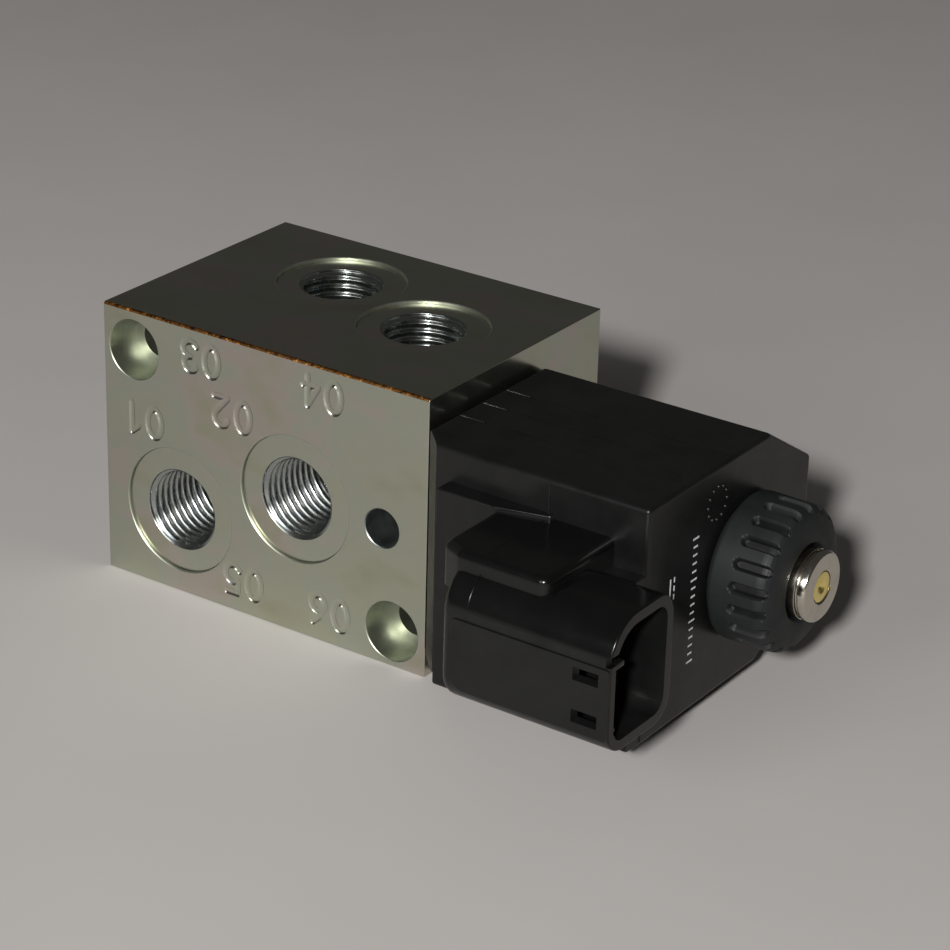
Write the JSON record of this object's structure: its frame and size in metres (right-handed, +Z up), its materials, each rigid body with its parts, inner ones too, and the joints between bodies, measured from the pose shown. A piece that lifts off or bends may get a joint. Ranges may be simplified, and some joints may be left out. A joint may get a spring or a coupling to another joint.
{
  "type": "solenoid directional valve",
  "caption": "Solenoid spool valve: threaded-port steel manifold block, screwed-in solenoid tube with override pin, swivelling coil with two-pin connector and ribbed coil nut.",
  "frame": {"origin": "under the middle of the valve's bounding box, at the manifold block's bottom face", "axes": "+X along the spool from the manifold block to the coil nut, +Y from the face with two threaded ports and the connector side to the plain back face, +Z up"},
  "size_m": [0.112, 0.068, 0.044],
  "materials": {
    "zinc_steel": "yellow-green passivated zinc plate, satin",
    "bright_steel": "ground",
    "nickel": "bright nickel plate",
    "brass": "turned",
    "copper": "enamelled copper wire",
    "black_nylon": "moulded, satin",
    "natural_nylon": "moulded",
    "rubber": "nitrile O-ring"
  },
  "bodies": {
    "valve_body": {"manifold_block": "zinc_steel", "end_plug": "zinc_steel", "end_plug_seal": "rubber", "spool_spring": "bright_steel", "pole_piece": "bright_steel", "pole_seal": "rubber", "guide_tube": "nickel", "anti_stick_shim": "brass", "end_stop": "nickel", "override_pin_seal": "rubber"},
    "spool": {"spool": "bright_steel"},
    "push_pin": {"push_pin": "bright_steel"},
    "armature": {"armature": "bright_steel"},
    "override_pin": {"override_pin": "brass"},
    "coil": {"coil_housing": "black_nylon", "upper_terminal": "nickel", "lower_terminal": "nickel", "inner_flux_washer": "bright_steel", "outer_flux_washer": "bright_steel", "flux_sleeve": "bright_steel", "bobbin": "natural_nylon", "winding": "copper", "inner_coil_seal": "rubber", "outer_coil_seal": "rubber"},
    "nut_seal": {"nut_seal": "rubber"},
    "coil_nut": {"coil_nut": "black_nylon", "nut_insert": "brass"}
  },
  "joints": [
    {"name": "spool_slide", "type": "slide", "parent": "valve_body", "child": "spool", "axis": [1, 0, 0], "range_m": [-0.003, 0], "stiffness_N_per_m": 1500, "springref_m": 0.004, "deforming": ["spool_spring"]},
    {"name": "push_pin_slide", "type": "slide", "parent": "valve_body", "child": "push_pin", "axis": [1, 0, 0], "range_m": [-0.003, 0]},
    {"name": "armature_slide", "type": "slide", "parent": "valve_body", "child": "armature", "axis": [1, 0, 0], "range_m": [-0.003, 0]},
    {"name": "override_pin_slide", "type": "slide", "parent": "valve_body", "child": "override_pin", "axis": [1, 0, 0], "range_m": [-0.003, 0]},
    {"name": "coil_swivel", "type": "hinge", "parent": "valve_body", "child": "coil", "pos_m": [0.024, 0.012, 0.022], "axis": [1, 0, 0], "continuous": true},
    {"name": "coil_nut_travel", "type": "slide", "parent": "valve_body", "child": "nut_seal", "axis": [1, 0, 0], "range_m": [0, 0.003]},
    {"name": "coil_nut_turn", "type": "hinge", "parent": "nut_seal", "child": "coil_nut", "pos_m": [0.048, 0.012, 0.022], "axis": [1, 0, 0], "range_deg": [0, 1080]}
  ],
  "couplings": [
    {"joint": "push_pin_slide", "follows": "spool_slide", "ratio": 1},
    {"joint": "armature_slide", "follows": "spool_slide", "ratio": 1},
    {"joint": "override_pin_slide", "follows": "spool_slide", "ratio": 1},
    {"joint": "coil_nut_travel", "follows": "coil_nut_turn", "m_per_rad": 0.00015915}
  ]
}
